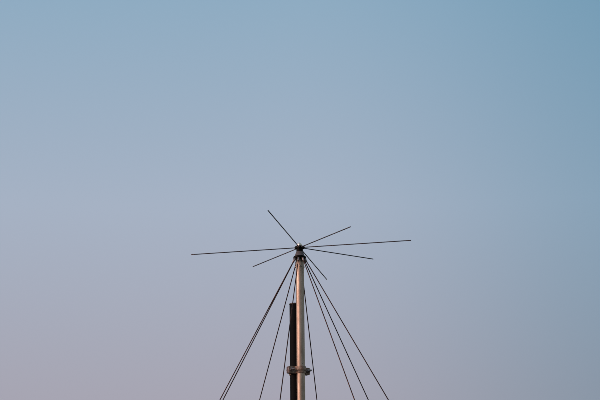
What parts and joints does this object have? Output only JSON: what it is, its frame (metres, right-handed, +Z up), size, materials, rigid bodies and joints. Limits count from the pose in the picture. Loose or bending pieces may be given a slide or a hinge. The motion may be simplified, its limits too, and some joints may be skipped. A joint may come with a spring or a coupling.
{
  "type": "radio mast with discone antenna",
  "caption": "Wideband discone antenna, a flat fan of disc rods over a cone of long rods, on a support pipe clamped beside a plain tubular ground mast with a gusseted foot.",
  "frame": {"origin": "middle of the foot plate's underside, on the mast tube's axis", "axes": "+Z up along the mast, -Y from the mast towards the support pipe, +X to the right seen from the pipe's side"},
  "size_m": [0.8584, 0.8584, 2.949],
  "materials": {
    "mast_coat": "matte black coat on steel tube",
    "mast_plastic": "moulded black plastic lid",
    "pipe_metal": "satin drawn tube, dulled by weather",
    "rod_metal": "thin drawn rod, dark against the sky",
    "hub_black": "black anodised turning",
    "insulator_grey": "dark grey moulded plastic",
    "cap_metal": "bright plated cap nut",
    "strap_metal": "plated pressed steel, browned by weather",
    "saddle_metal": "cast block, browned by weather",
    "screw_metal": "plated screws, bolts and nuts",
    "socket_metal": "plated socket body"
  },
  "bodies": {
    "root": {"mast_tube": "mast_coat", "foot_plate": "mast_coat", "gussets": "mast_coat", "mast_lid": "mast_plastic", "support_pipe": "pipe_metal", "disc_rod_1": "rod_metal", "disc_rod_2": "rod_metal", "disc_rod_3": "rod_metal", "disc_rod_4": "rod_metal", "disc_rod_6": "rod_metal", "disc_rod_7": "rod_metal", "disc_rod_8": "rod_metal", "cone_rod_1": "rod_metal", "cone_rod_2": "rod_metal", "cone_rod_3": "rod_metal", "cone_rod_4": "rod_metal", "cone_rod_5": "rod_metal", "cone_rod_6": "rod_metal", "cone_rod_7": "rod_metal", "cone_rod_8": "rod_metal", "disc_hub": "hub_black", "cone_hub": "hub_black", "insulator": "insulator_grey", "cap_nut": "cap_metal", "upper_front_strap": "strap_metal", "upper_back_strap": "strap_metal", "lower_front_strap": "strap_metal", "lower_back_strap": "strap_metal", "upper_centre_saddle": "saddle_metal", "lower_centre_saddle": "saddle_metal", "pipe_screws": "screw_metal", "upper_bolts": "screw_metal", "upper_nuts": "screw_metal", "upper_washers": "screw_metal", "lower_bolts": "screw_metal", "lower_nuts": "screw_metal", "lower_washers": "screw_metal", "centre_stud": "screw_metal", "disc_lock_nuts": "screw_metal", "cone_lock_nuts": "screw_metal", "feed_socket": "socket_metal"}
  },
  "joints": []
}
